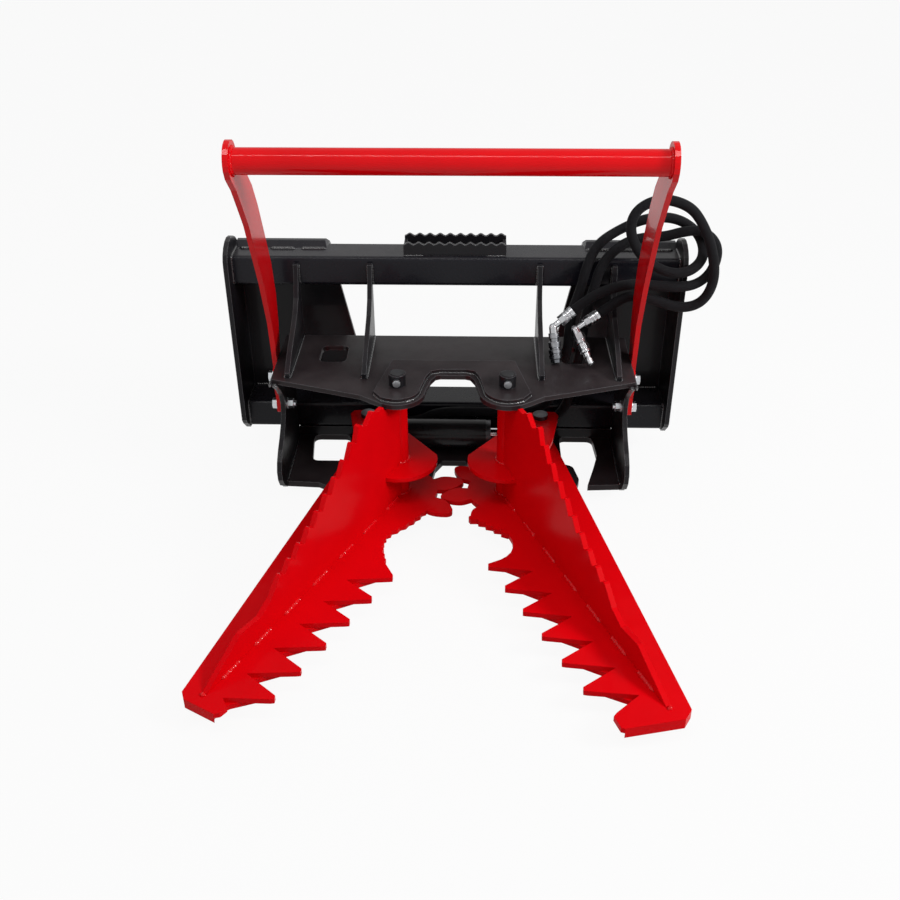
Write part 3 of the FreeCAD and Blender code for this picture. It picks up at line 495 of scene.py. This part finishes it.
def sleeve(name):
    cloth = Finish(name, Specular_IOR_Level=0.12, Sheen_Weight=0.04, Sheen_Roughness=0.4)
    folds = cloth.noise(55.0, 3.0)
    where = cloth.node("ShaderNodeTexCoord", {}, "Object")
    warp, weft = (cloth.node("ShaderNodeTexWave", {"bands_direction": way}, 1, Vector=where, Scale=THREADS,
                             Distortion=1.5) for way in "XZ")
    weave = warp * weft
    cloth.set("Base Color", cloth.mix(weave * 0.5 + folds * 0.3, SLEEVE_BLACK, SLEEVE_GREY))
    cloth.set("Roughness", 0.62 + weave * 0.2)
    cloth.relief(weave * 0.25 + folds, FOLD_DEPTH, 0.0005)
    return cloth.material


hose_cloth = sleeve("hose_sleeve")
PORT_Z = 0.1005
HOSE_D = 0.024
SLACK, BAGGING, BAG_RATE = 1.03, 0.05, 2.3    # how loosely the sleeve sits, and how that changes
HOSE_LONG = [(-0.140, 0.024, PORT_Z), (-0.098, 0.024, PORT_Z), (-0.050, 0.024, 0.130), (0.040, 0.024, 0.133),
             (0.130, 0.022, 0.131), (0.215, 0.024, 0.132), (0.265, 0.024, 0.182), (0.272, 0.018, 0.260),
             (0.285, -0.050, 0.340), (0.290, -0.016, 0.432), (0.312, 0.004, 0.491), (0.327, 0.020, 0.555),
             (0.351, 0.042, 0.600), (0.405, 0.066, 0.629), (0.473, 0.078, 0.655), (0.548, 0.080, 0.655),
             (0.606, 0.064, 0.618), (0.608, -0.008, 0.577), (0.547, -0.034, 0.546), (0.462, -0.024, 0.577),
             (0.418, -0.008, 0.645), (0.430, 0.006, 0.700), (0.490, 0.010, 0.728), (0.558, 0.002, 0.712),
             (0.592, -0.012, 0.672), (0.620, -0.026, 0.611), (0.633, -0.033, 0.537), (0.611, -0.033, 0.478),
             (0.558, -0.030, 0.460), (0.489, -0.029, 0.485), (0.432, -0.030, 0.497), (0.387, -0.046, 0.478),
             (0.343, -0.064, 0.452)]
HOSE_SHORT = [(0.061, 0.024, PORT_Z), (0.140, 0.024, PORT_Z), (0.248, 0.024, 0.096), (0.302, 0.024, 0.150),
              (0.309, 0.018, 0.250), (0.316, -0.050, 0.334), (0.326, -0.016, 0.426), (0.345, 0.004, 0.495),
              (0.360, 0.015, 0.552), (0.393, 0.030, 0.592), (0.444, 0.040, 0.617), (0.514, 0.040, 0.620),
              (0.556, 0.038, 0.634), (0.605, 0.034, 0.641), (0.644, 0.022, 0.604), (0.635, 0.003, 0.550),
              (0.596, -0.018, 0.520), (0.546, -0.030, 0.517), (0.490, -0.029, 0.521), (0.431, -0.029, 0.526),
              (0.370, -0.044, 0.515), (0.321, -0.058, 0.494), (0.281, -0.072, 0.463)]


def hose(name, node, route):
    data = bpy.data.curves.new(name, "CURVE")
    data.dimensions = "3D"
    line = data.splines.new("NURBS")
    line.points.add(len(route) - 1)
    for i, (place, (x, y, z)) in enumerate(zip(line.points, route)):
        place.co = (x, y + ORIGIN_Y, z, 1)
        place.radius = SLACK + BAGGING * math.sin(i * BAG_RATE)
    line.order_u = 3
    line.use_endpoint_u = True
    line.resolution_u = 12
    data.bevel_depth = HOSE_D / 2
    data.bevel_resolution = 5
    data.use_fill_caps = True
    piece = bpy.data.objects.new(name, data)
    bpy.context.scene.collection.objects.link(piece)
    data.materials.append(hose_cloth)
    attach(piece, "frame")
    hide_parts(node)


hose("long_hose", "hose_long", HOSE_LONG)
hose("short_hose", "hose_short", HOSE_SHORT)


# Studio. A pale matt floor that keeps the shadow, a white surround, and three soft lamps: the
# main one high on the right, a long narrow one overhead and a faint one on the left.
FLOOR, FLOOR_DROP = 30.0, 0.0005
FLOOR_GREY = (0.60, 0.60, 0.60, 1)
WHITE = (1, 1, 1, 1)
FLOOR_SEEN, FLOOR_MIRRORED = 0.93, 0.6
SKY_LIGHT, SKY_SEEN, SKY_MIRRORED = 0.38, 0.62, 0.34    # the last two come on top of the first


class Sky(Finish):
    def __init__(self, name):
        self.world = bpy.data.worlds.new(name)
        self.world.use_nodes = True
        self.tree = self.world.node_tree


# how much a ray shows of a ground: whole to the camera and through glass, less in a mirror
def shown(ground, seen_share, mirrored_share):
    seen, mirrored, through = (ground.node("ShaderNodeLightPath", {}, "Is %s Ray" % kind)
                               for kind in ("Camera", "Glossy", "Transmission"))
    return (seen + through) * seen_share + mirrored * mirrored_share


def lamp(name, place, aim, size, power):
    data = bpy.data.lights.new(name, "AREA")
    data.shape = "RECTANGLE"
    data.size, data.size_y = size
    data.energy = power
    piece = bpy.data.objects.new(name, data)
    piece.location = place
    piece.rotation_euler = (Vector(aim) - Vector(place)).to_track_quat("-Z", "Y").to_euler()
    bpy.context.scene.collection.objects.link(piece)


floor_data = bpy.data.meshes.new("floor")
corners = [(x * FLOOR, y * FLOOR, 0) for x, y in ((-1, -1), (1, -1), (1, 1), (-1, 1))]
floor_data.from_pydata(corners, [], [(0, 1, 2, 3)])
floor = bpy.data.objects.new("floor", floor_data)
floor.location.z = -FLOOR_DROP
bpy.context.scene.collection.objects.link(floor)
pale = Finish("floor_pale", Base_Color=FLOOR_GREY, Roughness=0.9, Specular_IOR_Level=0.1)
glow = pale.node("ShaderNodeEmission", {}, 0, Color=WHITE, Strength=1.0)
surface = pale.node("ShaderNodeMixShader", {}, 0, i0=shown(pale, FLOOR_SEEN, FLOOR_MIRRORED),
                    i1=Value(pale, pale.shader.outputs[0]), i2=glow)
pale.join(pale.tree.nodes["Material Output"].inputs["Surface"], surface)
floor_data.materials.append(pale.material)

sky = Sky("surround")
background = sky.tree.nodes["Background"]
sky.join(background.inputs["Color"], WHITE)
sky.join(background.inputs["Strength"], shown(sky, SKY_SEEN, SKY_MIRRORED) + SKY_LIGHT)
bpy.context.scene.world = sky.world

lamp("key", (3.3, -1.1, 2.6), aim=(0, -0.1, 0.2), size=(1.2, 1.0), power=100)
lamp("strip", (0, -1.1, 3.4), aim=(0, 0, 0.4), size=(4.0, 0.22), power=38)
lamp("fill", (-2.9, -1.6, 2.2), aim=(0, 0, 0.3), size=(1.6, 1.6), power=5)


# Camera at the photograph's place: 2.4 m in front of the frame and 1.5 m up, looking 32 degrees
# down and a little to the left, with the view of a 42 mm lens on a 36 mm wide frame.
PITCH, YAW, ROLL = (math.radians(a) for a in (32.0, 1.5, 0.2))
PLACE = (0.051, -2.426 + ORIGIN_Y, 1.540)
level_ahead = Vector((-math.sin(YAW), math.cos(YAW), 0))
right = Vector((math.cos(YAW), math.sin(YAW), 0))
ahead = level_ahead * math.cos(PITCH) - Vector((0, 0, math.sin(PITCH)))
down = -level_ahead * math.sin(PITCH) - Vector((0, 0, math.cos(PITCH)))
across = right * math.cos(ROLL) + down * math.sin(ROLL)
below = down * math.cos(ROLL) - right * math.sin(ROLL)
camera_data = bpy.data.cameras.new("camera")
camera_data.sensor_width = 36
camera_data.lens = 42
camera = bpy.data.objects.new("camera", camera_data)
turn = Matrix((across, -below, -ahead)).transposed().to_4x4()
camera.matrix_world = Matrix.Translation(PLACE) @ turn
bpy.context.scene.collection.objects.link(camera)
bpy.context.scene.camera = camera
bpy.context.scene.view_settings.view_transform = "Standard"
